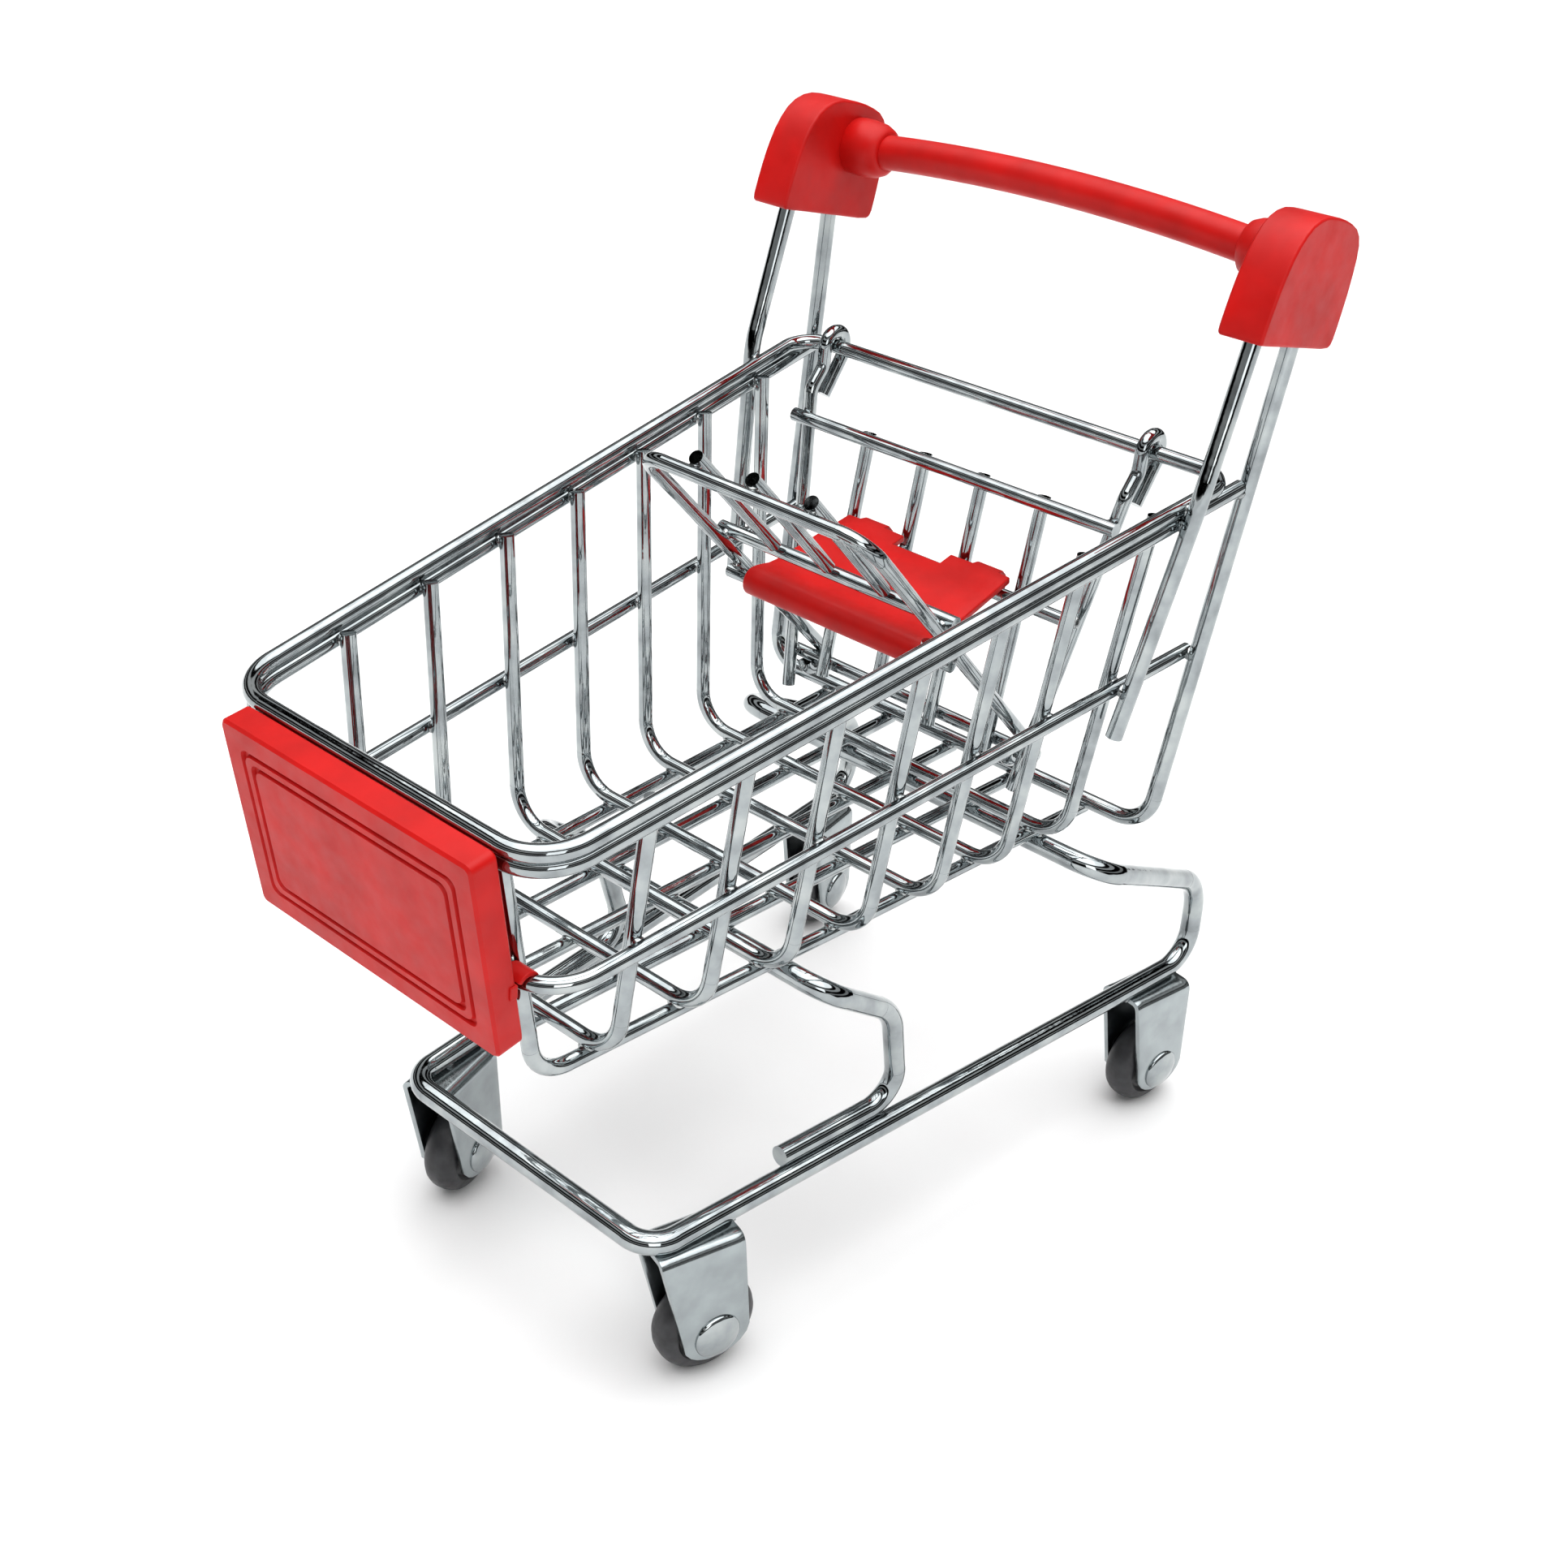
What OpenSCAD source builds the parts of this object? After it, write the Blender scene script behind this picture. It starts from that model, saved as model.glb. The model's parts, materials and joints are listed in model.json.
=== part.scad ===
// Miniature wire shopping cart, in millimetres.
// +Z is up and the ground is z = 0. The origin is under the middle of the cart's length, on the centre plane.
// The sign panel faces -Y and the handle is at +Y. Right means +X, left means -X.
// Parts are drawn with y = 0 midway between the axles, and finish() moves them to the origin.

/* [Basket] */
// Number of U-shaped basket ribs
rib_count = 7; // [5:1:8]
// Distance between two ribs
rib_pitch = 12.15; // [11:0.05:12.5]
// Y of the rib nearest the sign panel, from midway between the axles
first_rib_y = -57.6; // [-59:0.1:-56]
// Height of the rib floor above the ground
floor_z = 52.2; // [52:0.1:52.6]
// Half width of the basket floor midway between the axles
floor_half_w = 24.65; // [24.5:0.05:25.5]
// Height of the rim midway between the axles
rim_height = 95; // [94.5:0.1:95.5]
// Height of the middle wire midway between the axles
mid_height = 73.55; // [71:0.05:77]
// Diameter of the basket wire
wire_d = 1.8; // [1.7:0.05:1.85]

/* [Chassis] */
// Diameter of the chassis wire
chassis_d = 2.8; // [2.6:0.1:3]
// Diameter of the middle support wire
support_d = 2.6; // [2.4:0.1:2.8]
// Height of the low rails above the ground
rail_z = 22.2; // [21.5:0.1:22.6]
// Diameter of the leg wires that carry the handle
leg_d = 2.1; // [2:0.05:2.2]

/* [Wheels] */
// Wheel diameter
wheel_d = 13; // [12.5:0.1:13.5]
// Wheel width
wheel_w = 4.5; // [4:0.1:4.8]
// Half distance between the two front wheels
front_track = 21.6; // [21:0.1:22]
// Half distance between the two rear wheels
rear_track = 31.2; // [31:0.1:31.5]

/* [Handle] */
// Diameter of the grip bar
grip_d = 4.3; // [4:0.1:5]
// Height of the grip bar's ends
grip_z = 124.6; // [124.2:0.1:125]
// Rise of the grip bar's middle
grip_rise = 1.3; // [0.5:0.1:2]

/* [Gate and seat] */
// Sideways position of the gate on the rear bar
gate_shift = -3; // [-3:0.1:3]
// Slope of the folded-out flap above the horizontal
flap_slope = 43; // [42:0.5:45]
// Thickness of the seat plate
seat_t = 1.5; // [1.2:0.1:1.6]

/* [Hidden] */
$fn = 96;

chrome = [0.78, 0.79, 0.80];
plate_metal = [0.68, 0.72, 0.73];
red = [0.85, 0.08, 0.07];
black = [0.08, 0.08, 0.09];

weld = 0.1;             // depth by which welded wires sink into each other
play = 0.05;            // radial clearance of a turning fit

// Basket walls: how much the sides widen per millimetre to the rear and per millimetre upward.
side_taper = 0.0865;
side_lean = 0.088;
front_lean = 0.178;     // lean of the front wall, per millimetre of height

rim_d = 1.9;
rim_slope = 0.178;
mid_slope = 0.111;
rim_gap = 1.8;          // the lower rim wire lies this far under the rim
rear_bar_y = 26.9;
floor_wire_z = floor_z - wire_d + weld;
front_foot_y = -64.5;   // foot of the front wall
floor_wire_end_y = 27.3;

rail_taper = 0.114;     // the rails widen toward the rear
rail_half_w = 26.5;

leg_foot_z = floor_wire_z + (wire_d + leg_d) / 2 - weld;
leg_foot = [31.7, 26];
leg_lean = [0.04, 0.08];
leg_top_z = 122;

cap_x = [31.2, 36.8];
grip_y = 31.7;

hinge_y = rear_bar_y;
hinge_z = rim_height + rim_slope * rear_bar_y;
hook_r = (rim_d + wire_d) / 2 + 0.08;
gate_foot = [17.6, 54.3];
gate_head = [22.9, 94.7];
gate_half_w = [19.2, 24.6];
gate_bar_z = [58.9, 78.7, 91.3];
flap_half_w = 17.1;
flap_pivot = [gate_y(gate_bar_z[0]) + wire_d - weld, gate_bar_z[0]];
flap_length = 52.9;
eye_r = wire_d + play;  // the flap's wires pass this far over the gate's bottom bar
lower_cross = [25.5, eye_r - wire_d + weld];
upper_cross = [30.8, eye_r + wire_d - weld];

panel_size = [37, 23.4];
panel_t = 3.3;
panel_foot = [-72.4, 58.2];
panel_lean = 9.8;

fork_gap = 5.4;         // between the cheeks
fork_t = 0.7;
fork_len = 11;
fork_trail = 2.8;       // the rivet sits this far behind the middle of the fork's top plate
rivet_d = 2;
toe = [16, 10];         // the front and rear forks turn outward by these angles
axle_y = [-42, 42.3];

// The cart reaches from the panel's top edge to the backs of the rear wheels.
front_end = panel_foot.x - panel_size.y * sin(panel_lean);
rear_end = axle_y[1] + wheel_d / 2;
middle_y = (front_end + rear_end) / 2;

// Colours a finished part and moves it to the cart's origin.
module finish(tint)
    color(tint)
        translate([0, -middle_y, 0])
            children();

// ---------- shared curves ----------

// X of a rib's side at height z.
function side_x(y, z) = floor_half_w + side_taper * y + side_lean * (z - floor_z);

// X of the low rail.
function rail_x(y) = rail_half_w + rail_taper * y;

// Y of the front wall's wires at height z.
function wall_y(z) = front_foot_y - front_lean * (z - floor_wire_z);

// A ring of diameter d runs round the outside of the basket in the plane z = height + slope * y.
function ring_x(height, slope, d, y) = side_x(y, height + slope * y) + (wire_d + d) / 2 - weld;
function ring_point(height, slope, d, y, side) = [side * ring_x(height, slope, d, y), y, height + slope * y];
function ring_front_y(height, slope, d) =
    (wall_y(height) - (wire_d + d) / 2 + weld) / (1 + front_lean * slope);

// X of a lengthways floor wire, counted from the middle one.
function floor_wire_x(i, y) = i * (9.9 + 0.035 * y);

// Y and half width of the gate's side wires at height z.
function gate_y(z) = gate_foot[0] + (z - gate_foot[1]) * (gate_head[0] - gate_foot[0]) / (gate_head[1] - gate_foot[1]);
function gate_x(z) =
    gate_half_w[0] + (z - gate_foot[1]) * (gate_half_w[1] - gate_half_w[0]) / (gate_head[1] - gate_foot[1]);

// A point of the flap: s along it from its pivot, h above its plane.
function flap_point(x, s, h = 0) = [
    gate_shift + x,
    flap_pivot[0] - s * cos(flap_slope) + h * sin(flap_slope),
    flap_pivot[1] + s * sin(flap_slope) + h * cos(flap_slope)
];

// ---------- wire ----------

function unit(v) = v / norm(v);
function item(v, i) = is_list(v) ? v[i] : v;
function turn_angle(a, p, b) = 180 - acos(max(-1, min(1, unit(a - p) * unit(b - p))));
function setback(a, p, b, r) = r * tan(turn_angle(a, p, b) / 2);

// Straight round bar from a to b.
module run(a, b, d) {
    v = b - a;
    if (norm(v) > 0.001) {
        translate(a)
            rotate([0, acos(v.z / norm(v)), atan2(v.y, v.x)])
                cylinder(d = d, h = norm(v));
    }
}

// Bend of radius r at corner p, between the neighbours a and b.
module bend(a, p, b, r, d) {
    t1 = unit(a - p);
    t2 = unit(b - p);
    turn = turn_angle(a, p, b);
    back = setback(a, p, b, r);
    centre = p + unit(t1 + t2) * r / cos(turn / 2);
    e1 = unit(p + t1 * back - centre);
    e2 = unit(p + t2 * back - centre);
    n = unit(cross(e1, e2));
    y = cross(n, e1);
    multmatrix([
        [e1.x, y.x, n.x, centre.x],
        [e1.y, y.y, n.y, centre.y],
        [e1.z, y.z, n.z, centre.z],
        [0, 0, 0, 1]
    ])
        rotate_extrude(angle = turn)
            translate([r, 0])
                circle(d = d);
}

// Bent wire through the points. r is one bend radius, or a list with one for each point.
// The straight runs end just inside the bends, which are a hair thicker.
module wire(points, d, r = 3, closed = false) {
    n = len(points);
    last = closed ? n - 1 : n - 2;
    lap = 0.05;
    function near(i) = points[(i + n) % n];
    function back(i) =
        !closed && (i == 0 || i == n - 1) ? 0 : setback(near(i - 1), near(i), near(i + 1), item(r, i % n)) - lap;
    for (i = [0 : last]) {
        along = unit(near(i + 1) - near(i));
        run(near(i) + along * back(i), near(i + 1) - along * back((i + 1) % n), d);
    }
    for (i = [closed ? 0 : 1 : last])
        bend(near(i - 1), near(i), near(i + 1), item(r, i), d + 0.02);
}

// The points given, then the same points mirrored left to right in reverse order.
function both_sides(right) = concat(right, [for (i = [len(right) - 1 : -1 : 0]) [-right[i].x, right[i].y, right[i].z]]);

// ---------- frame ----------

module chassis_wire() {
    cross_z = floor_wire_z - (wire_d + chassis_d) / 2 + weld;
    finish(chrome)
        wire(both_sides([
            [rail_x(-51.2), -51.2, rail_z],
            [rail_x(47.5), 47.5, rail_z],
            [31.2, 47, 35.2],
            [31, 17.9, cross_z]
        ]), chassis_d, [4, 5, 8, 5, 5, 8, 5, 4], closed = true);
}

module middle_support() {
    lie = [1.3, sqrt(pow((chassis_d + support_d) / 2 - weld, 2) - 1.3 * 1.3)];
    cross_z = floor_wire_z - (wire_d + support_d) / 2 + weld;
    finish(chrome)
        wire(both_sides([
            [rail_x(-30.6) - lie.x, -30.6, rail_z + lie.y],
            [rail_x(-11) - lie.x, -11, rail_z + lie.y],
            [24.8, -16, 40.2],
            [24, -28.6, cross_z]
        ]), support_d, [0, 4, 9, 4, 4, 9, 4, 0]);
}

module leg_wires(d) {
    rear_leg_path(d);
    front_leg_path(d, 1);
    front_leg_path(d, -1);
}

module rear_leg_path(d) {
    function leg(z) = [leg_foot.x + leg_lean.x * (z - leg_foot_z), leg_foot.y + leg_lean.y * (z - leg_foot_z), z];
    wire(both_sides([leg(leg_top_z), leg(leg_foot_z)]), d, 4.5);
}

module front_leg_path(d, side) {
    out = (wire_d + leg_d) / 2 - weld;
    low = ring_point(mid_height, mid_slope, wire_d, 14.7, side) + [side * out, 0, 0];
    high = ring_point(rim_height, rim_slope, rim_d, 17.3, side) + [side * out, 0, 0];
    top = [side * 33.9, 23.4, leg_top_z];
    wire([low + (low - high) * 0.26, high + (high - low) * 0.08, top], d, 20);
}

module rear_leg_wire()
    finish(chrome)
        rear_leg_path(leg_d);

module front_leg_right()
    finish(chrome)
        front_leg_path(leg_d, 1);

module front_leg_left()
    finish(chrome)
        front_leg_path(leg_d, -1);

// ---------- basket ----------

module ribs()
    finish(chrome)
        for (k = [0 : rib_count - 1])
            rib(first_rib_y + k * rib_pitch);

module rib(y) {
    top_z = rim_height + rim_slope * y - 0.8;
    wire(both_sides([
        [side_x(y, top_z), y, top_z],
        [side_x(y, floor_z), y, floor_z]
    ]), wire_d, 5);
}

module floor_wires()
    finish(chrome)
        for (i = [-2 : 2])
            floor_wire(i);

module floor_wire(i) {
    top_z = 80.4;
    wire([
        [floor_wire_x(i, floor_wire_end_y), floor_wire_end_y, floor_wire_z],
        [floor_wire_x(i, front_foot_y), front_foot_y, floor_wire_z],
        [floor_wire_x(i, wall_y(top_z)), wall_y(top_z), top_z]
    ], wire_d, 5);
}

// Open ring round the sides and front of the basket, ending at rear_y.
// Grown by the clearance, it cuts the seat of a clip.
module front_ring(height, slope, d, rear_y, grow = 0)
    wire(both_sides([
        ring_point(height, slope, d, rear_y, 1),
        ring_point(height, slope, d, ring_front_y(height, slope, d), 1)
    ]), d + grow, 6);

module mid_wire()
    finish(chrome)
        front_ring(mid_height, mid_slope, wire_d, 28.3);

module rim_lower_wire()
    finish(chrome)
        front_ring(rim_height - rim_gap, rim_slope, rim_d, 28.8);

module rim_wire()
    finish(chrome)
        wire(both_sides([
            ring_point(rim_height, rim_slope, rim_d, ring_front_y(rim_height, rim_slope, rim_d), 1),
            ring_point(rim_height, rim_slope, rim_d, rear_bar_y, 1)
        ]), rim_d, [6, 4, 4, 6], closed = true);

// ---------- handle ----------

// Side profile of an end cap, as [y, z].
cap_profile = [
    [18.2, 118.1], [19.6, 122.6], [21.5, 126.8], [24, 129.6], [27, 130.6],
    [30.6, 130.1], [34.1, 129.3], [38, 126.7], [37.6, 120.8], [36.6, 114.9]
];

module handle() {
    press = 0.06;       // the legs are this much thicker than their holes
    finish(red)
        difference() {
            union() {
                grip_bar();
                for (side = [-1, 1])
                    grip_end(side);
            }
            leg_wires(leg_d - press);
        }
}

// The bar arches upward between its two ends.
module grip_bar() {
    half = 26.5;
    bow_r = (half * half + grip_rise * grip_rise) / (2 * grip_rise);
    spread = 2 * asin(half / bow_r);
    translate([0, grip_y, grip_z + grip_rise - bow_r])
        rotate([90, 0, 0])
            rotate([0, 0, 90 - spread / 2])
                rotate_extrude(angle = spread, $fn = 96)
                    translate([bow_r, 0])
                        circle(d = grip_d);
}

module grip_end(side) {
    collars = [[26.2, 28.4, 6.0], [28.2, 32.2, 7.2]];
    translate([0, grip_y, grip_z])
        for (c = collars)
            run([side * c[0], 0, 0], [side * c[1], 0, 0], c[2]);
    translate([side > 0 ? cap_x[0] : -cap_x[1], 0, 0])
        rotate([90, 0, 90])
            linear_extrude(cap_x[1] - cap_x[0])
                polygon(cap_profile);
}

// ---------- sign panel ----------

module front_panel()
    finish(red)
        difference() {
            union() {
                panel_place() panel_board();
                for (side = [-1, 1]) {
                    clip(side * 11, [-73.4, 78.2], [2.4, 3]);
                    clip(side * 17.4, [-71, 64.6], [3.6, 3.2]);
                }
            }
            front_ring(mid_height, mid_slope, wire_d, 28.3, 2 * play);
            front_ring(rim_height, rim_slope, rim_d, 28.3, 2 * play);
            front_ring(rim_height - rim_gap, rim_slope, rim_d, 28.3, 2 * play);
        }

// Drawn flat, x to the right, y up the board, front face toward -Y once it stands.
module panel_place()
    translate([0, panel_foot.x, panel_foot.y])
        rotate([90 + panel_lean, 0, 0])
            translate([0, 0, -panel_t])
                children();

module panel_board() {
    difference() {
        slab(panel_size, 0.9, 0, panel_t);
        groove(2.6, 0.5);
        groove(3.9, 0.5);
    }
}

// A rectangular groove in the board's face, inset from its edge.
module groove(inset, width)
    difference() {
        slab(panel_size - [2 * inset, 2 * inset], 2, panel_t - 0.5, 1, inset);
        slab(panel_size - [2 * (inset + width), 2 * (inset + width)], 2, panel_t - 0.6, 1.2, inset + width);
    }

// Rounded rectangular slab, centred left to right, its lower edge at y = up.
module slab(size, r, z, h, up = 0)
    translate([-size.x / 2, up, z])
        linear_extrude(h)
            polygon(rounded_rectangle(size, r));

function rounded_rectangle(size, r) = [
    for (corner = [[1, 0], [1, 1], [0, 1], [0, 0]], step = [0 : 4])
        let (a = (corner == [1, 0] ? -90 : corner == [1, 1] ? 0 : corner == [0, 1] ? 90 : 180) + step * 22.5)
            [
                (corner.x == 1 ? size.x - r : r) + r * cos(a),
                (corner.y == 1 ? size.y - r : r) + r * sin(a)
            ]
];

// Clip block centred on x, its near corner at [y, z].
module clip(x, corner, size)
    translate([x - 1.3, corner.x, corner.y])
        cube([2.6, size.x, size.y]);

// ---------- wheels ----------

// Puts the children on a wheel's axle: end 0 is the front and 1 the rear, side is +1 right or -1 left.
module at_wheel(end, side)
    translate([side * (end == 0 ? front_track : rear_track), axle_y[end], wheel_d / 2])
        rotate([0, 0, -side * toe[end]])
            mirror([side > 0 ? 0 : 1, 0, 0])
                children();

module bracket(end, side)
    finish(plate_metal)
        at_wheel(end, side) {
            top = rail_z - chassis_d / 2 + weld - wheel_d / 2;
            translate([-fork_gap / 2 - fork_t, -fork_trail - fork_len / 2, top - fork_t])
                cube([fork_gap + 2 * fork_t, fork_len, fork_t]);
            for (x = [-fork_gap / 2 - fork_t, fork_gap / 2])
                translate([x, 0, 0])
                    cheek(top - fork_t / 2);
        }

// Side plate of a fork: wide and set forward at the top, rounded under the rivet.
module cheek(top) {
    foot = [4.5, 3.4];
    front = -fork_trail - fork_len / 2;
    back = fork_len / 2 - fork_trail;
    rotate([90, 0, 90])
        linear_extrude(fork_t)
            difference() {
                polygon(concat(
                    [[back, top], [front, top], [front, top - 1]],
                    [for (a = [180 : 15 : 360]) [foot.x * cos(a), foot.y * sin(a)]],
                    [[back, top - 1]]
                ));
                circle(d = rivet_d + 2 * play);
            }
}

// Rivet with two domed heads, turned from one profile.
module axle(end, side) {
    half = fork_gap / 2 + fork_t;
    head = [3, 0.9];    // radius and height of the domed heads
    dome = [for (t = [1 : -0.2 : 0.2]) [head.x * t, half + head.y * (1 - 0.75 * t * t)]];
    top = [0, half + head.y];
    right = concat([[rivet_d / 2, half], [head.x, half]], dome, [top]);
    left = [for (i = [len(right) - 1 : -1 : 0]) [right[i].x, -right[i].y]];
    finish(chrome)
        at_wheel(end, side)
            rotate([0, 90, 0])
                rotate_extrude()
                    polygon(concat(left, right));
}

module wheel(end, side) {
    r = wheel_d / 2;
    w = wheel_w / 2;
    finish(black)
        at_wheel(end, side)
            rotate([0, 90, 0])
                rotate_extrude()
                    polygon([
                        [rivet_d / 2 + play, -w], [r - 1.6, -w], [r - 0.7, -w + 0.4], [r - 0.2, -w + 1.1], [r, -w + 2],
                        [r, w - 2], [r - 0.2, w - 1.1], [r - 0.7, w - 0.4], [r - 1.6, w], [rivet_d / 2 + play, w]
                    ]);
}

// ---------- gate ----------

module gate_side(side) {
    x = gate_shift + side * gate_x(gate_head[1]);
    foot_x = gate_shift + side * gate_half_w[0];
    finish(chrome)
        wire([
            [foot_x, gate_foot[0], gate_foot[1]],
            [x, gate_head[0], gate_head[1]],
            [x, hinge_y - hook_r, hinge_z - 2.4],
            [x, hinge_y - hook_r, hinge_z + hook_r],
            [x, hinge_y + hook_r, hinge_z + hook_r],
            [x, hinge_y + hook_r, hinge_z - 1.5],
            [x, hinge_y - 1.3, hinge_z - 6.5]
        ], wire_d, [0, 2, 2, hook_r - 0.1, hook_r - 0.1, 1.5, 0]);
}

// Cross wire of the gate at height z, on the front (-1) or back (+1) of its side wires.
module gate_bar(z, face, overhang) {
    y = gate_y(z) + face * (wire_d - weld);
    half = gate_x(z) + overhang;
    finish(chrome)
        run([gate_shift - half, y, z], [gate_shift + half, y, z], wire_d);
}

module gate_uprights() {
    low = gate_bar_z[0] - 1.2;
    high = gate_bar_z[2] + 0.3;
    finish(chrome)
        for (i = [-1.5 : 1 : 1.5])
            run([gate_shift + i * 9.2, gate_y(low), low], [gate_shift + i * 9.2, gate_y(high), high], wire_d);
}

// ---------- flap ----------

// U wire with its two ends curled round the gate's bottom bar.
module flap_frame()
    finish(chrome) {
        wire([
            flap_point(-flap_half_w, -0.05, eye_r),
            flap_point(-flap_half_w, flap_length, eye_r),
            flap_point(flap_half_w, flap_length, eye_r),
            flap_point(flap_half_w, -0.05, eye_r)
        ], wire_d, 4);
        for (side = [-1, 1])
            flap_curl(side);
    }

// Curl at the end of a flap wire, turning on the gate's bottom bar.
module flap_curl(side)
    translate([gate_shift + side * flap_half_w, flap_pivot[0], flap_pivot[1]])
        rotate([-flap_slope, 0, 0])
            rotate([0, -90, 0])
                rotate_extrude(angle = 215)
                    translate([eye_r, 0])
                        circle(d = wire_d + 0.02);

// Cross wire of the flap at [s, h].
module flap_cross(at, half)
    finish(chrome)
        run(flap_point(-half, at[0], at[1]), flap_point(half, at[0], at[1]), wire_d);

module flap_inner_wires()
    finish(chrome)
        for (i = [-1 : 1])
            run(
                flap_point(i * 8.6, upper_cross[0] + wire_d - weld, upper_cross[1]),
                flap_point(i * 8.6, flap_length + 0.9, upper_cross[1]),
                wire_d
            );

// ---------- seat ----------

seat_axis = flap_point(0, lower_cross[0], lower_cross[1]);
seat_half_w = [14, 13];
seat_slope = 13.4;
seat_length = 18.5;
seat_roll_t = 0.95;
seat_low = -0.35;       // underside of the board, measured from the roll's axis

// The gate's middle bar, seen from the seat's tilted frame.
seat_bar = turned([gate_y(gate_bar_z[1]) - wire_d + weld - seat_axis.y, gate_bar_z[1] - seat_axis.z], seat_slope);

function turned(v, a) = [v.x * cos(a) + v.y * sin(a), v.y * cos(a) - v.x * sin(a)];

// Drawn lying flat with the roll's axis as the origin, then tilted into place.
module seat_plate()
    finish(red)
        translate(seat_axis)
            rotate([seat_slope, 0, 0])
                difference() {
                    union() {
                        across() circle(d = wire_d + 2 * seat_roll_t);
                        seat_board();
                        for (side = [-1, 1])
                            translate([side * 9.2, 0, 0])
                                seat_tab();
                    }
                    run([-20, 0, 0], [20, 0, 0], wire_d + 2 * play);
                }

// Extrudes a side profile, drawn as [y, z], over the width of the roll.
module across(width = 2 * seat_half_w[0])
    rotate([90, 0, 90])
        linear_extrude(width, center = true)
            children();

// Tapered board with a cut-out in its rear edge.
module seat_board()
    translate([0, 0, seat_low])
        linear_extrude(seat_t)
            polygon([
                [-seat_half_w[0], 0], [seat_half_w[0], 0], [seat_half_w[1], seat_length],
                [4.5, seat_length], [3.5, seat_length - 2.5], [-3.5, seat_length - 2.5], [-4.5, seat_length],
                [-seat_half_w[1], seat_length]
            ]);

// Curled clip that hangs over the gate's middle bar, open below and in front.
module seat_tab()
    across(4.4)
        translate(seat_bar)
            difference() {
                circle(r = 1.85);
                circle(r = 1.15);
                translate([-3, -3.9])
                    square([6, 3]);
                translate([-3, -1])
                    square([3, 1.2]);
            }

// ---------- output ----------

chassis_wire();
middle_support();
ribs();
floor_wires();
mid_wire();
rim_lower_wire();
rim_wire();
rear_leg_wire();
front_leg_left();
front_leg_right();
handle();
front_panel();
bracket(0, -1);  // bracket_fl
bracket(0, 1);  // bracket_fr
bracket(1, -1);  // bracket_rl
bracket(1, 1);  // bracket_rr
axle(0, -1);  // axle_fl
axle(0, 1);  // axle_fr
axle(1, -1);  // axle_rl
axle(1, 1);  // axle_rr
wheel(0, -1);  // wheel_fl
wheel(0, 1);  // wheel_fr
wheel(1, -1);  // wheel_rl
wheel(1, 1);  // wheel_rr
gate_side(-1);  // gate_side_left
gate_side(1);  // gate_side_right
gate_bar(gate_bar_z[2], -1, 1.2);  // gate_top_bar
gate_bar(gate_bar_z[1], -1, 0.3);  // gate_mid_bar
gate_bar(gate_bar_z[0], 1, 0.9);  // gate_bottom_bar
gate_uprights();
flap_frame();
flap_cross(upper_cross, flap_half_w + 1.4);  // flap_upper_cross
flap_cross(lower_cross, flap_half_w + 0.7);  // flap_lower_cross
flap_inner_wires();
seat_plate();
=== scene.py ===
"""Looks for the miniature wire shopping cart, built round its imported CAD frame. Lengths are in metres."""
import json
import math

import bmesh
import bpy
from mathutils import Matrix, Vector, noise
from mathutils.bvhtree import BVHTree
from mathutils.geometry import intersect_ray_tri


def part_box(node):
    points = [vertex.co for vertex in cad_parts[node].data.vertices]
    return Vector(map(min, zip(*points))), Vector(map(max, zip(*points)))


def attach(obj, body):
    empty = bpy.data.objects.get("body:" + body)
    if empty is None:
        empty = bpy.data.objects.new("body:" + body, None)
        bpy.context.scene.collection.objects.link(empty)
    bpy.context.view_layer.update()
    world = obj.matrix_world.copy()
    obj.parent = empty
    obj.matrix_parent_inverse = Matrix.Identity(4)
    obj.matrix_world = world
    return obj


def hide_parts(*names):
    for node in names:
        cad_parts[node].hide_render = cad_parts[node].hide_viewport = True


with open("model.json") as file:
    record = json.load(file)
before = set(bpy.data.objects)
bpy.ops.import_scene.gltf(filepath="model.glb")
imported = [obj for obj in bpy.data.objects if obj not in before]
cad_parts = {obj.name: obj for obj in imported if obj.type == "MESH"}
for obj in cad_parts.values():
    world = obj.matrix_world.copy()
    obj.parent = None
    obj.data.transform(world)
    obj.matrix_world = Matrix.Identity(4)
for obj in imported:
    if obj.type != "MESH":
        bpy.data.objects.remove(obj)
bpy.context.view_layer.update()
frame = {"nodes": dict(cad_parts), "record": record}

MM = 0.001
BEHAVIOUR = frame["record"]["behaviour"]
BODY_OF = {node: body for body, nodes in BEHAVIOUR["bodies"].items() for node in nodes}
WHEELS = ("fl", "fr", "rl", "rr")
RED_NODES = ("handle", "front_panel", "seat_plate")
WHEEL_HALF_WIDTH = 2.25 * MM
CHEEK_INNER = 2.7 * MM      # from the wheel's middle plane to the inner face of a fork cheek
SHEET = 0.7 * MM            # thickness of the fork's sheet metal
RIVET_HEAD_R = 3.0 * MM
RIVET_HEAD_H = 0.9 * MM
GRIP_R = 2.15 * MM
GRIP_HALF = 27 * MM
GRIP_RISE = 1.3 * MM
CAP_THICKNESS = 5.6 * MM
PANEL_HALF = (18.5 * MM, 11.7 * MM)
PANEL_THICKNESS = 3.3 * MM
PANEL_LEAN = math.radians(9.8)
SEAT_SLOPE = math.radians(13.4)
SEAT_SHEET = 0.95 * MM


# ---------- materials ----------

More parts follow.
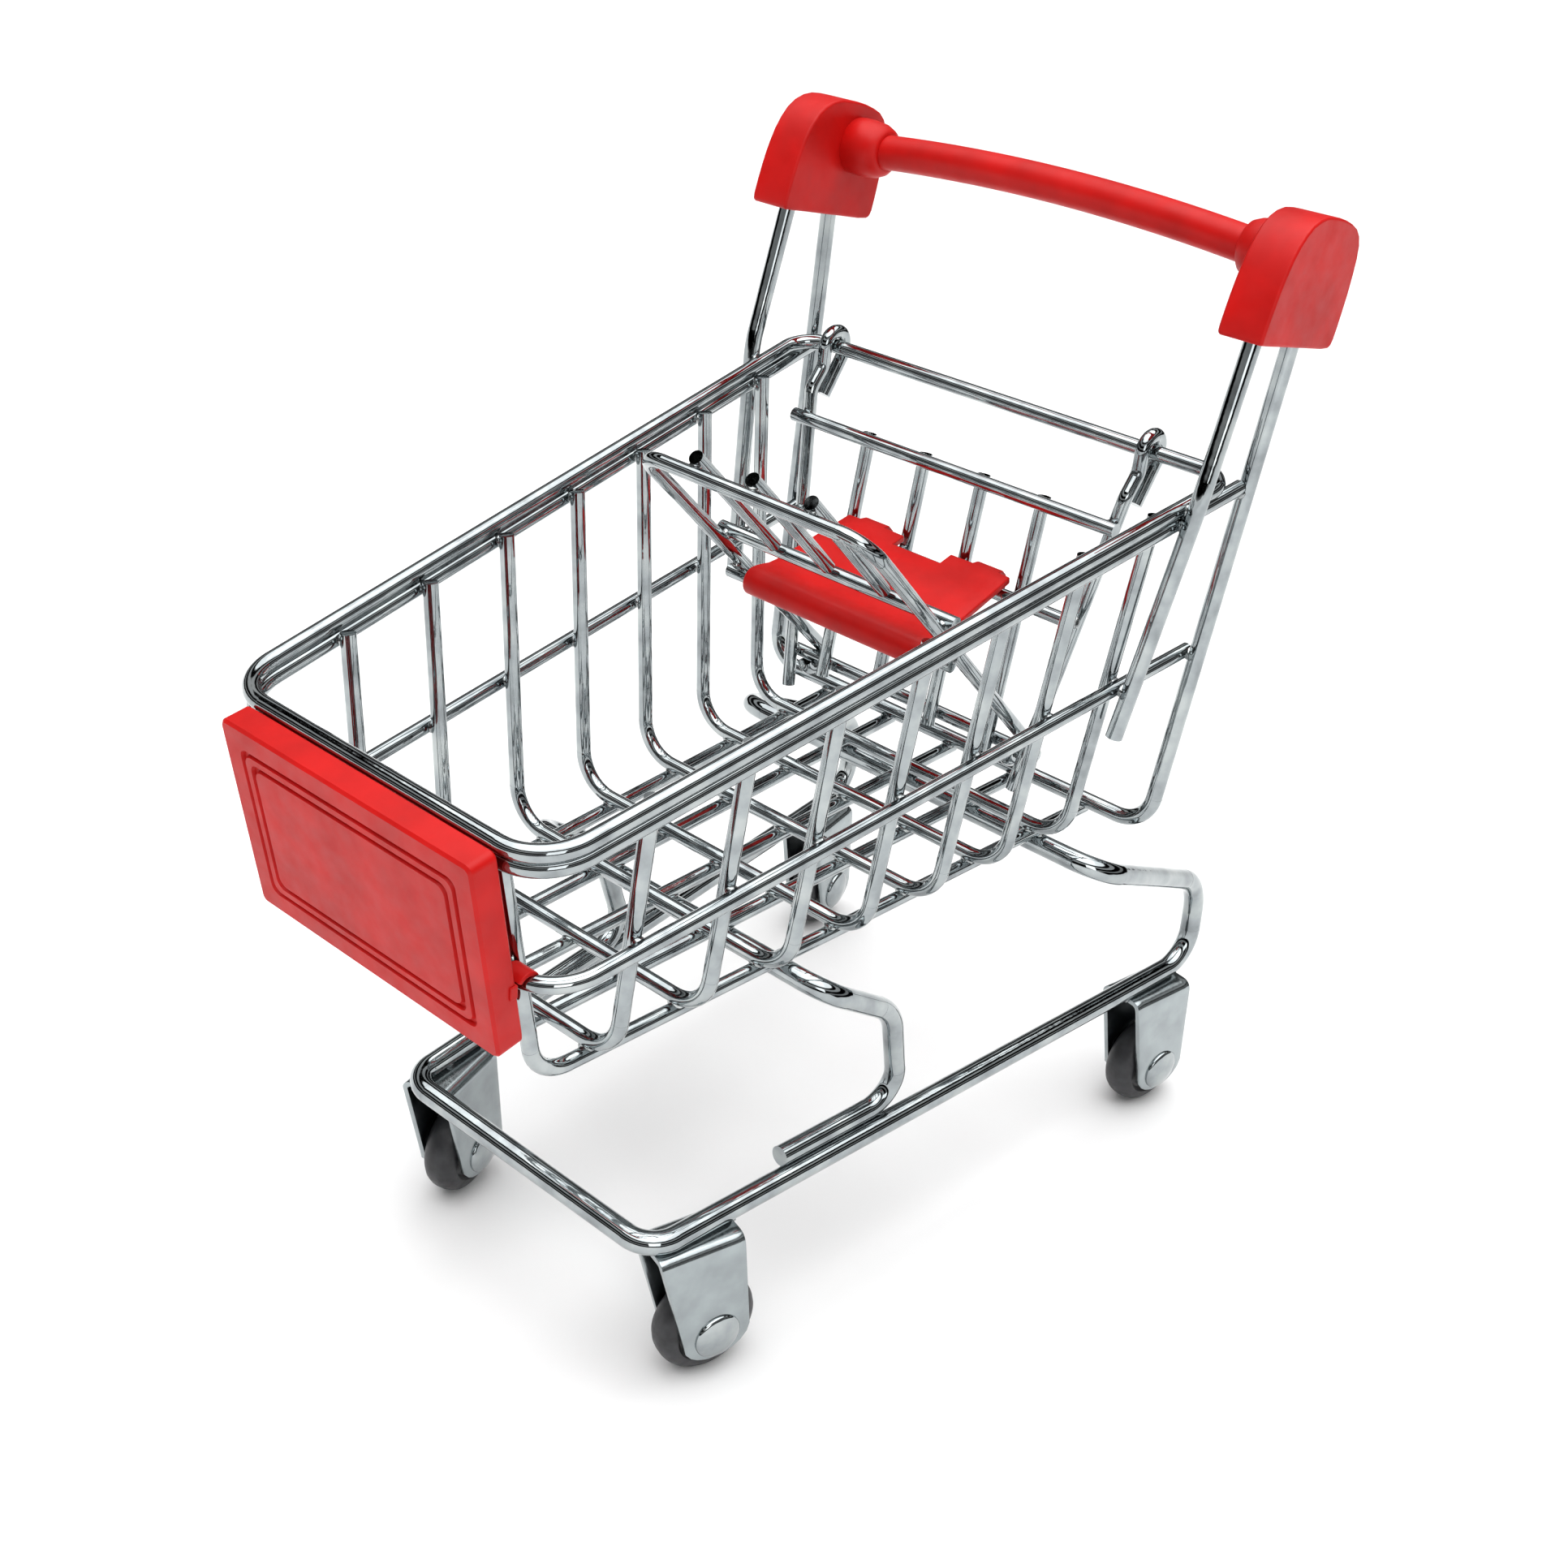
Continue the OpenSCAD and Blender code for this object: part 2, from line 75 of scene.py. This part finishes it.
class Material:
    """A principled material whose colour, roughness and bump come from noise in object space."""

    def __init__(self, name, metallic=0.0):
        self.material = bpy.data.materials.new(name)
        self.material.use_nodes = True
        self.nodes = self.material.node_tree.nodes
        self.links = self.material.node_tree.links
        self.shader = self.nodes["Principled BSDF"]
        self.shader.inputs["Metallic"].default_value = metallic
        self.place = self.nodes.new("ShaderNodeTexCoord").outputs["Object"]

    def noise(self, scale, detail=3.0, stretch=(1, 1, 1)):
        mapping = self.nodes.new("ShaderNodeMapping")
        mapping.inputs["Scale"].default_value = stretch
        self.links.new(self.place, mapping.inputs["Vector"])
        texture = self.nodes.new("ShaderNodeTexNoise")
        texture.inputs["Scale"].default_value = scale
        texture.inputs["Detail"].default_value = detail
        self.links.new(mapping.outputs["Vector"], texture.inputs["Vector"])
        return texture.outputs["Fac"]

    def ramp(self, factor, stops):
        ramp = self.nodes.new("ShaderNodeValToRGB")
        elements = ramp.color_ramp.elements
        for element, (position, colour) in zip(elements, (stops[0], stops[-1])):
            element.position = position
            element.color = (*colour, 1)
        for position, colour in stops[1:-1]:
            elements.new(position).color = (*colour, 1)
        self.links.new(factor, ramp.inputs["Fac"])
        return ramp.outputs["Color"]

    def colour(self, factor, stops):
        self.links.new(self.ramp(factor, stops), self.shader.inputs["Base Color"])

    def roughness(self, factor, low, high):
        spread = self.nodes.new("ShaderNodeMapRange")
        spread.inputs["From Min"].default_value = 0.3
        spread.inputs["From Max"].default_value = 0.7
        spread.inputs["To Min"].default_value = low
        spread.inputs["To Max"].default_value = high
        self.links.new(factor, spread.inputs["Value"])
        self.links.new(spread.outputs["Result"], self.shader.inputs["Roughness"])

    def bump(self, factor, height, strength=1.0):
        bump = self.nodes.new("ShaderNodeBump")
        bump.inputs["Distance"].default_value = height
        bump.inputs["Strength"].default_value = strength
        self.links.new(factor, bump.inputs["Height"])
        self.links.new(bump.outputs["Normal"], self.shader.inputs["Normal"])


def chrome_wire():
    """Bright plating over drawn wire: slow waves in the surface, faint haze and a few dull specks."""
    m = Material("chrome_wire", metallic=1.0)
    greys = [(0.3, (0.24, 0.26, 0.27)), (0.5, (0.34, 0.37, 0.38)), (0.7, (0.44, 0.47, 0.47))]
    m.colour(m.noise(260, 5), greys)
    m.roughness(m.noise(900, 4), 0.03, 0.09)
    m.bump(m.noise(420, 2), 0.06 * MM, 0.35)
    return m.material


def weld_metal():
    """Plated weld beads, lumpier and duller than the wire."""
    m = Material("weld_bead", metallic=1.0)
    greys = [(0.32, (0.16, 0.17, 0.18)), (0.55, (0.38, 0.40, 0.40)), (0.72, (0.55, 0.57, 0.57))]
    m.colour(m.noise(900, 5), greys)
    m.roughness(m.noise(1500, 4), 0.08, 0.26)
    m.bump(m.noise(1300, 3), 0.12 * MM, 0.8)
    return m.material


def bracket_metal():
    """Satin plated sheet with fine rolling marks."""
    m = Material("bracket_metal", metallic=1.0)
    m.colour(m.noise(300, 5), [(0.3, (0.30, 0.33, 0.34)), (0.7, (0.38, 0.42, 0.43))])
    m.roughness(m.noise(700, 6, (1, 8, 1)), 0.14, 0.24)
    m.bump(m.noise(1400, 4, (1, 6, 1)), 0.02 * MM, 0.3)
    return m.material


def red_plastic():
    """Satin moulded plastic with a slight flow mottle and a fine mould texture."""
    m = Material("red_plastic")
    m.colour(m.noise(180, 4), [(0.32, (0.44, 0.004, 0.003)), (0.68, (0.56, 0.005, 0.004))])
    m.roughness(m.noise(500, 5), 0.38, 0.52)
    m.bump(m.noise(1100, 3), 0.01 * MM, 0.2)
    m.shader.inputs["Specular IOR Level"].default_value = 0.22
    return m.material


def black_plastic():
    """Hard black wheel with a scuffed, slightly paler tread."""
    m = Material("black_wheel")
    m.colour(m.noise(500, 6), [(0.35, (0.012, 0.012, 0.014)), (0.7, (0.030, 0.030, 0.034))])
    m.roughness(m.noise(900, 5), 0.34, 0.55)
    m.bump(m.noise(2200, 5), 0.04 * MM, 0.4)
    return m.material


def floor_paint():
    """Matt white paint, very slightly uneven."""
    m = Material("studio_floor")
    m.colour(m.noise(3, 2), [(0.3, (0.86, 0.86, 0.86)), (0.7, (0.90, 0.90, 0.90))])
    m.roughness(m.noise(6, 2), 0.8, 0.9)
    m.bump(m.noise(60, 2), 0.05 * MM, 0.05)
    return m.material


CHROME = chrome_wire()
WELD = weld_metal()
BRACKET = bracket_metal()
RED = red_plastic()
BLACK = black_plastic()


# ---------- mesh helpers ----------

def add_piece(name, bm, material, body=None, bevel=0.0, place=None, smooth=math.radians(40)):
    """Makes an object of a bmesh, rounds its edges and hangs it on a body."""
    bmesh.ops.recalc_face_normals(bm, faces=bm.faces)
    if place is not None:
        bm.transform(place)
    mesh = bpy.data.meshes.new(name)
    bm.to_mesh(mesh)
    bm.free()
    mesh.materials.append(material)
    mesh.shade_smooth()
    mesh.set_sharp_from_angle(angle=smooth)
    piece = bpy.data.objects.new(name, mesh)
    bpy.context.scene.collection.objects.link(piece)
    if bevel:
        modifier = piece.modifiers.new("rounding", "BEVEL")
        modifier.width = bevel
        modifier.segments = 4
        modifier.limit_method = "ANGLE"
        modifier.angle_limit = math.radians(32)
        modifier.harden_normals = True
    if body:
        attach(piece, body)
    return piece


def revolve(bm, profile, steps=72, matrix=Matrix.Identity(4)):
    """Turns a list of (x, radius) points round the X axis; the first and last points close on the axis."""
    rings = []
    for x, r in profile:
        if r <= 0:
            rings.append([bm.verts.new(matrix @ Vector((x, 0, 0)))])
            continue
        angles = [2 * math.pi * i / steps for i in range(steps)]
        rings.append([bm.verts.new(matrix @ Vector((x, r * math.cos(a), r * math.sin(a)))) for a in angles])
    for a, b in zip(rings, rings[1:]):
        join_rings(bm, a, b, steps)


def join_rings(bm, a, b, steps):
    """Faces between two closed rings, either of which may be a single point."""
    for i in range(steps):
        j = (i + 1) % steps
        if len(a) == 1 and len(b) > 1:
            bm.faces.new((a[0], b[j], b[i]))
        elif len(b) == 1 and len(a) > 1:
            bm.faces.new((a[i], a[j], b[0]))
        elif len(a) > 1:
            bm.faces.new((a[i], a[j], b[j], b[i]))


def prism(bm, outline, x0, x1, matrix=Matrix.Identity(4)):
    """Solid between two copies of a (y, z) outline, at x0 and x1."""
    low = [bm.verts.new(matrix @ Vector((x0, y, z))) for y, z in outline]
    high = [bm.verts.new(matrix @ Vector((x1, y, z))) for y, z in outline]
    bm.faces.new(low)
    bm.faces.new(reversed(high))
    count = len(outline)
    for i in range(count):
        j = (i + 1) % count
        bm.faces.new((low[i], low[j], high[j], high[i]))


def arc(centre, radius, start, end, steps):
    """Points of an arc in degrees, from start to end."""
    for i in range(steps + 1):
        a = math.radians(start + (end - start) * i / steps)
        yield centre[0] + radius * math.cos(a), centre[1] + radius * math.sin(a)


def smooth_outline(points, rounds):
    """A closed outline with its corners cut off, once for each round."""
    for _ in range(rounds):
        cut = []
        for a, b in zip(points, points[1:] + points[:1]):
            cut.append((a[0] * 0.75 + b[0] * 0.25, a[1] * 0.75 + b[1] * 0.25))
            cut.append((a[0] * 0.25 + b[0] * 0.75, a[1] * 0.25 + b[1] * 0.75))
        points = cut
    return points


def joint(name):
    """The record's joint of that name."""
    return next(j for j in BEHAVIOUR["joints"] if j["name"] == name)


def axle_matrix(wheel):
    """Frame of a wheel: origin at its centre, X outward along its axle, Z up.

    Y points to the rear on the right side of the cart and to the front on the left side.
    """
    spin = joint("spin_" + wheel)
    outward = 1 if wheel.endswith("r") else -1
    x = Vector(spin["axis"]).normalized() * outward
    z = Vector((0, 0, 1))
    y = z.cross(x)
    turn = Matrix((x, y, z)).transposed().to_4x4()
    return Matrix.Translation(Vector(spin["pos_m"])) @ turn


# ---------- camera, light and floor ----------

def make_camera():
    """The photograph's viewpoint: azimuth, elevation and roll in degrees."""
    azimuth, elevation, roll = (math.radians(a) for a in (37.97, 29.225, 5.997))
    forward = Vector((
        -math.sin(azimuth) * math.cos(elevation),
        math.cos(azimuth) * math.cos(elevation),
        -math.sin(elevation),
    ))
    right = Vector((math.cos(azimuth), math.sin(azimuth), 0))
    up = right.cross(forward)
    x = right * math.cos(roll) + up * math.sin(roll)
    y = up * math.cos(roll) - right * math.sin(roll)
    data = bpy.data.cameras.new("camera")
    data.lens = 43.21
    data.sensor_width = 36
    data.clip_start = 0.005
    camera = bpy.data.objects.new("camera", data)
    turn = Matrix((x, y, -forward)).transposed().to_4x4()
    camera.matrix_world = Matrix.Translation((0.1246, -0.1553, 0.1711)) @ turn
    bpy.context.scene.collection.objects.link(camera)
    bpy.context.scene.camera = camera


def make_light():
    """A pale room: a broad soft ceiling light over darker bands, which give the plating its dark lines."""
    world = bpy.data.worlds.new("studio")
    bpy.context.scene.world = world
    world.use_nodes = True
    nodes = world.node_tree.nodes
    links = world.node_tree.links
    place = nodes.new("ShaderNodeTexCoord")
    split = nodes.new("ShaderNodeSeparateXYZ")
    ramp = nodes.new("ShaderNodeValToRGB")
    height = nodes.new("ShaderNodeMapRange")
    height.inputs["From Min"].default_value = -1
    height.inputs["From Max"].default_value = 1
    stops = [
        (0.0, 0.2), (0.49, 0.2), (0.51, 0.0), (0.58, 0.0), (0.59, 0.14), (0.64, 0.12), (0.65, 0.0),
        (0.73, 0.0), (0.74, 0.2), (0.80, 0.25), (0.81, 0.0), (0.86, 0.0), (0.87, 0.95), (1.0, 1.0),
    ]
    elements = ramp.color_ramp.elements
    elements[0].position, elements[1].position = stops[0][0], stops[-1][0]
    elements[0].color = (stops[0][1],) * 3 + (1,)
    elements[1].color = (stops[-1][1],) * 3 + (1,)
    for position, grey in stops[1:-1]:
        elements.new(position).color = (grey, grey, grey, 1)
    links.new(place.outputs["Generated"], split.inputs["Vector"])
    links.new(split.outputs["Z"], height.inputs["Value"])
    links.new(height.outputs["Result"], ramp.inputs["Fac"])
    links.new(ramp.outputs["Color"], nodes["Background"].inputs["Color"])
    nodes["Background"].inputs["Strength"].default_value = 2.6
    add_area("top_light", (0.05, -0.05, 0.8), 0.7, 2.2)
    add_area("side_light", (0.6, -0.5, 0.35), 0.35, 1.0)


def add_area(name, place, size, power):
    """A square light aimed at the middle of the basket."""
    data = bpy.data.lights.new(name, "AREA")
    data.size = size
    data.energy = power
    light = bpy.data.objects.new(name, data)
    light.location = place
    light.rotation_mode = "QUATERNION"
    light.rotation_quaternion = (Vector((0, 0, 0.06)) - Vector(place)).to_track_quat("-Z", "Y")
    bpy.context.scene.collection.objects.link(light)


def make_floor():
    """Plain floor at z = 0, wide enough to fill the picture."""
    bm = bmesh.new()
    bmesh.ops.create_grid(bm, x_segments=24, y_segments=24, size=5)
    floor = add_piece("studio_floor", bm, floor_paint())


# ---------- welds ----------

def edge_hits(corners, others):
    """Points where the edges of one triangle pass through another."""
    for start, end in zip(corners, corners[1:] + corners[:1]):
        along = end - start
        hit = intersect_ray_tri(*others, along, start, True)
        if hit is not None and 0 <= (hit - start).dot(along) <= along.length_squared:
            yield hit


def contact_points(a, b, gap):
    """Middles of the places where two nodes sink into each other. Hits closer than gap share a middle."""
    meshes = []
    for o in (a, b):
        triangles = [[o.data.vertices[i].co for i in p.vertices] for p in o.data.polygons]
        flat = [corner for triangle in triangles for corner in triangle]
        tree = BVHTree.FromPolygons(flat, [(i, i + 1, i + 2) for i in range(0, len(flat), 3)])
        meshes.append((triangles, tree))
    (ours, tree_a), (theirs, tree_b) = meshes
    spots = []
    for i, j in tree_a.overlap(tree_b):
        for hit in [*edge_hits(ours[i], theirs[j]), *edge_hits(theirs[j], ours[i])]:
            near = next((s for s in spots if (s[0] / s[1] - hit).length < gap), None)
            if near is None:
                spots.append([hit.copy(), 1])
            else:
                near[0] += hit
                near[1] += 1
    return [total / count for total, count in spots]


def weld_bead(bm, centre, radius):
    """A lumpy bead whose shape depends only on where it sits."""
    made = bmesh.ops.create_icosphere(bm, subdivisions=3, radius=radius)
    for v in made["verts"]:
        lump = noise.noise((v.co + centre) * 900) * 0.35 + noise.noise((v.co - centre) * 2300) * 0.12
        v.co = centre + v.co * (1 + lump)


def make_welds():
    """Beads wherever the record says that two metal nodes are joined, but not along parallel wires."""
    parallel = ({"rim_wire", "rim_lower_wire"}, {"chassis_wire", "middle_support"})
    meshes = {}
    for a, b in BEHAVIOUR["press_fits"]:
        if {a, b} in parallel or "handle" in (a, b) or b.startswith("axle"):
            continue
        gap, radius = (2.4 * MM, 0.7 * MM) if a.startswith("bracket") else (1.8 * MM, 0.8 * MM)
        bm = meshes.setdefault(BODY_OF[a], bmesh.new())
        for centre in contact_points(frame["nodes"][a], frame["nodes"][b], gap):
            weld_bead(bm, centre, radius)
    for body, bm in meshes.items():
        add_piece("welds_" + body, bm, WELD, body, smooth=math.pi)


# ---------- wheels ----------

def make_wheel(wheel):
    """Wheel with a rounded tread, a dished face and a hub boss."""
    low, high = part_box("wheel_" + wheel)
    r = (high.z - low.z) / 2
    w = WHEEL_HALF_WIDTH
    half = [
        (w - 0.25 * MM, 1.1 * MM), (w - 0.25 * MM, 2.4 * MM), (w - 0.7 * MM, 2.7 * MM),
        (w - 0.7 * MM, r - 2.4 * MM), (w, r - 1.9 * MM), (w, r - 1.6 * MM),
        (w - 0.25 * MM, r - 0.85 * MM), (w - 0.7 * MM, r - 0.38 * MM),
        (w - 1.3 * MM, r - 0.1 * MM), (0.35 * MM, r), (0, r - 0.04 * MM),
    ]
    profile = half + [(-x, y) for x, y in reversed(half[:-1])]
    bm = bmesh.new()
    revolve(bm, profile + [profile[0]])
    bmesh.ops.remove_doubles(bm, verts=bm.verts, dist=1e-7)
    piece = add_piece("tyre_" + wheel, bm, BLACK, "wheel_" + wheel, place=axle_matrix(wheel))
    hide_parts("wheel_" + wheel)


def make_rivet(wheel):
    """Rivet with two domed heads, each with a soft rim."""
    half = CHEEK_INNER + SHEET
    rim = RIVET_HEAD_R
    height = RIVET_HEAD_H
    dome = [(half, rim), (half + 0.16 * MM, rim), (half + 0.3 * MM, rim - 0.12 * MM)]
    dome += [(half + height * (1 - 0.66 * t * t), rim * t) for t in (0.9, 0.75, 0.6, 0.45, 0.3, 0.15)]
    dome.append((half + height, 0))
    side = [(half, 1 * MM)] + dome
    profile = [(-x, y) for x, y in reversed(side)] + side
    bm = bmesh.new()
    revolve(bm, profile, 48)
    piece = add_piece("rivet_" + wheel, bm, CHROME, "cart", place=axle_matrix(wheel), smooth=math.radians(50))
    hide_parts("axle_" + wheel)


def make_fork(wheel):
    """Bent sheet fork made as one surface with thickness: cheek, fold, top plate, fold, cheek."""
    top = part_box("bracket_" + wheel)[1].z - joint("spin_" + wheel)["pos_m"][2]
    fold = 1.0 * MM
    x = CHEEK_INNER + SHEET / 2
    path = [(x, z * MM) for z in (-3.35, -3.2, -2.8, -2.2, -1.2, 0, 2, 4, 6, 8.5)]
    path += list(arc((x - fold, top - SHEET / 2 - fold), fold, 0, 90, 6))
    path += [(-a, b) for a, b in reversed(path)]
    bm = bmesh.new()
    rows = []
    rearward = 1 if wheel.endswith("r") else -1
    for across, up in path:
        front, back = cheek_edges(up, top)
        spread = [rearward * (front + (back - front) * t) for t in (0, 0.1, 0.3, 0.5, 0.7, 0.9, 1)]
        rows.append([bm.verts.new((across, along, up)) for along in spread])
    for a, b in zip(rows, rows[1:]):
        for i in range(len(a) - 1):
            bm.faces.new((a[i], a[i + 1], b[i + 1], b[i]))
    piece = add_piece("fork_" + wheel, bm, BRACKET, place=axle_matrix(wheel))
    thicken(piece, SHEET)
    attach(piece, "cart")
    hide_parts("bracket_" + wheel)


def thicken(piece, thickness, edge=0.15 * MM):
    """Gives a sheet its thickness on both sides of the drawn surface, with softened edges."""
    sheet = piece.modifiers.new("sheet", "SOLIDIFY")
    sheet.thickness = thickness
    sheet.offset = 0
    softened = piece.modifiers.new("edge", "BEVEL")
    softened.width = edge
    softened.segments = 2


def cheek_edges(z, top):
    """Front and back edge of the fork at height z: set forward at the top, rounded under the rivet."""
    foot = 4.5 * MM
    drop = 3.4 * MM
    if z < 0:
        foot *= math.sqrt(max(0.04, 1 - (z / drop) ** 2))
        return -foot, foot
    rise = min(1, z / (top - 1 * MM))
    front, back = -8.3 * MM, 2.7 * MM
    return -foot + (front + foot) * rise, foot + (back - foot) * rise


# ---------- red mouldings ----------

def make_handle():
    """Grip bar with a slight bow, stepped collars and two D-shaped caps."""
    low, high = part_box("handle")
    axis = Vector((0, high.y - 6.3 * MM, high.z - 6.0 * MM))
    bm = bmesh.new()
    bowed_bar(bm, axis)
    collar = [
        (26.0, 0), (26.0, 2.5), (26.4, 3.0), (27.4, 3.4), (29.2, 3.6), (30.8, 3.55), (32.0, 3.3), (32.0, 0),
    ]
    for side in (1, -1):
        revolve(bm, [(side * x * MM, r * MM) for x, r in collar], 48, Matrix.Translation(axis))
    piece = add_piece("handle_grip", bm, RED, "cart", bevel=0.25 * MM)
    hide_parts("handle")
    for side, name in ((1, "handle_cap_right"), (-1, "handle_cap_left")):
        make_cap(name, side, low, high)


def bowed_bar(bm, axis, steps=36, sides=40):
    """Round bar along X through axis, whose middle stands higher than its ends."""
    angles = [2 * math.pi * k / sides for k in range(sides)]
    circle = [Vector((0, GRIP_R * math.cos(a), GRIP_R * math.sin(a))) for a in angles]
    rings = []
    for i in range(steps + 1):
        t = 2 * i / steps - 1
        centre = axis + Vector((t * GRIP_HALF, 0, GRIP_RISE * (1 - t * t)))
        rings.append([bm.verts.new(centre + point) for point in circle])
    for a, b in zip(rings, rings[1:]):
        join_rings(bm, a, b, sides)
    bm.faces.new(rings[0])
    bm.faces.new(reversed(rings[-1]))


def make_cap(name, side, low, high):
    """End cap: a D-shaped block with soft edges.

    Its outline is in millimetres back from the front of the handle's box and up from its top.
    """
    outline = [
        (0, -12.6), (1.0, -9.2), (2.1, -6.2), (3.7, -3.2), (6.0, -0.9), (9.0, 0), (12.4, -0.4), (15.9, -1.3),
        (18.7, -2.6), (19.8, -4.8), (19.7, -8.8), (19.0, -12.8), (18.3, -15.6), (17.2, -15.9), (11.8, -14.9),
        (5.8, -13.8), (0.7, -12.9),
    ]
    bm = bmesh.new()
    points = [(low.y + y * MM, high.z + z * MM) for y, z in outline]
    prism(bm, smooth_outline(points, 1), side * (high.x - CAP_THICKNESS), side * high.x)
    piece = add_piece(name, bm, RED, "cart", bevel=1.2 * MM)
    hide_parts("handle")


def rounded_loop(half_w, half_h, r, steps=5):
    """Closed loop of a rounded rectangle, with the same number of points for any size."""
    corners = [(1, 1, 0), (-1, 1, 90), (-1, -1, 180), (1, -1, 270)]
    for sx, sy, start in corners:
        centre = (sx * (half_w - r), sy * (half_h - r))
        yield from arc(centre, r, start, start + 90, steps)


def make_panel():
    """Sign panel: a board with a double groove in front and a hollow back, clipped to the wires."""
    low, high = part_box("front_panel")
    down = Vector((0, math.sin(PANEL_LEAN), -math.cos(PANEL_LEAN)))
    top = Vector((0, low.y + 0.05 * MM, high.z - 0.05 * MM))
    centre = top + down * PANEL_HALF[1]
    place = Matrix.Translation(centre) @ Matrix.Rotation(math.pi / 2 + PANEL_LEAN, 4, "X")
    bm = bmesh.new()
    rings = []
    for inset, depth in panel_levels():
        radius = max(0.9 - inset, 0.5 if inset < 2 else 1.1) * MM
        loop = rounded_loop(PANEL_HALF[0] - inset * MM, PANEL_HALF[1] - inset * MM, radius)
        rings.append([bm.verts.new((x, y, depth)) for x, y in loop])
    for a, b in zip(rings, rings[1:]):
        join_rings(bm, a, b, len(a))
    bm.faces.new(rings[0])
    bm.faces.new(rings[-1])
    piece = add_piece("sign_board", bm, RED, "cart", place=place, smooth=math.radians(35))
    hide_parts("front_panel")
    make_clips()


def panel_levels():
    """Loops of the board from its hollow back, round the edge and over both grooves.

    Each is its inset from the edge in millimetres and its depth in metres, with the face at 0.
    """
    back = -PANEL_THICKNESS
    groove = -0.4 * MM
    levels = [
        (0.9, back + 2.2 * MM), (0.9, back), (0.25, back), (0, back + 0.25 * MM), (0, -0.3 * MM), (0.3, 0),
    ]
    for inset in (2.5, 3.8):
        levels += [(inset, 0), (inset + 0.15, groove), (inset + 0.45, groove), (inset + 0.6, 0)]
    return levels


def make_clips():
    """Snap clips between the board's back and the wires behind it."""
    bm = bmesh.new()
    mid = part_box("mid_wire")[0]
    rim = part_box("rim_lower_wire")[0]
    half_width = 1.3
    spots = [
        (17.4, mid.y + 0.9 * MM, mid.z + 0.95 * MM, 1.5 * MM),
        (11, rim.y + 0.95 * MM, rim.z + 1.0 * MM, 1.35 * MM),
    ]
    for x, y, z, r in spots:
        hook = list(arc((y, z), r, 150, -60, 10)) + list(arc((y, z), 0.98 * MM, -60, 150, 10))
        near, far = y - 2.3 * MM, y - 0.9 * r
        up, down = z + 0.5 * r, z - 0.5 * r
        stem = [(near, up), (near, down), (far, down), (far, up)]
        for side in (1, -1):
            for outline in (hook, stem):
                prism(bm, outline, side * (x - half_width) * MM, side * (x + half_width) * MM)
    piece = add_piece("sign_clips", bm, RED, "cart", bevel=0.12 * MM)
    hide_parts("front_panel")


def make_seat():
    """Child seat plate: front edge rolled round the wire, notched rear edge, two curled tabs."""
    hinge = joint("seat_fold")["pos_m"]
    place = Matrix.Translation(Vector(hinge)) @ Matrix.Rotation(SEAT_SLOPE, 4, "X")
    roll = list(arc((0, 0), 1.43 * MM, 300, 90, 14))
    board = [
        (0.8, 1.30), (1.8, 1.0), (3.0, 0.6), (4.5, 0.42), (7, 0.4), (10, 0.4), (13, 0.4), (15.9, 0.4),
        (18.3, 0.4),
    ]
    curl = [(19.2, 0.1), (19.75, -0.7), (19.8, -1.6), (19.5, -2.4), (19.0, -2.9)]
    path = roll + [(y * MM, z * MM) for y, z in board + curl]
    rear = len(roll) + len(board) - 1
    columns = [-1, -0.86, -0.55, -0.36, -0.29, -0.1, 0.1, 0.29, 0.36, 0.55, 0.86, 1]
    bm = bmesh.new()
    grid = []
    for y, z in path:
        half = (14.0 - max(0, y / MM) / 18.5) * MM
        grid.append([bm.verts.new((t * half, y, z)) for t in columns])
    for row, (a, b) in enumerate(zip(grid, grid[1:])):
        for i in range(len(columns) - 1):
            middle = abs(columns[i] + columns[i + 1]) / 2
            in_notch = row >= rear - 1 and middle < 0.3
            beside_tab = row >= rear and not 0.5 < middle < 0.8
            if not in_notch and not beside_tab:
                bm.faces.new((a[i], a[i + 1], b[i + 1], b[i]))
    loose = [v for v in bm.verts if not v.link_faces]
    bmesh.ops.delete(bm, geom=loose, context="VERTS")
    piece = add_piece("seat_board", bm, RED, place=place, smooth=math.radians(50))
    thicken(piece, SEAT_SHEET, 0.2 * MM)
    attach(piece, "seat")
    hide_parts("seat_plate")


# ---------- carried-over CAD nodes ----------

def dress_nodes():
    """Gives every CAD node the material of what it is made of."""
    for name, node in frame["nodes"].items():
        node.data.materials.clear()
        node.data.materials.append(node_material(name))


def node_material(name):
    if name in RED_NODES:
        return RED
    if name.startswith("bracket"):
        return BRACKET
    return BLACK if name.startswith("wheel") else CHROME


bpy.context.scene.view_settings.view_transform = "Standard"
make_camera()
make_light()
make_floor()
dress_nodes()
make_welds()
for wheel in WHEELS:
    make_wheel(wheel)
    make_rivet(wheel)
    make_fork(wheel)
make_handle()
make_panel()
make_seat()
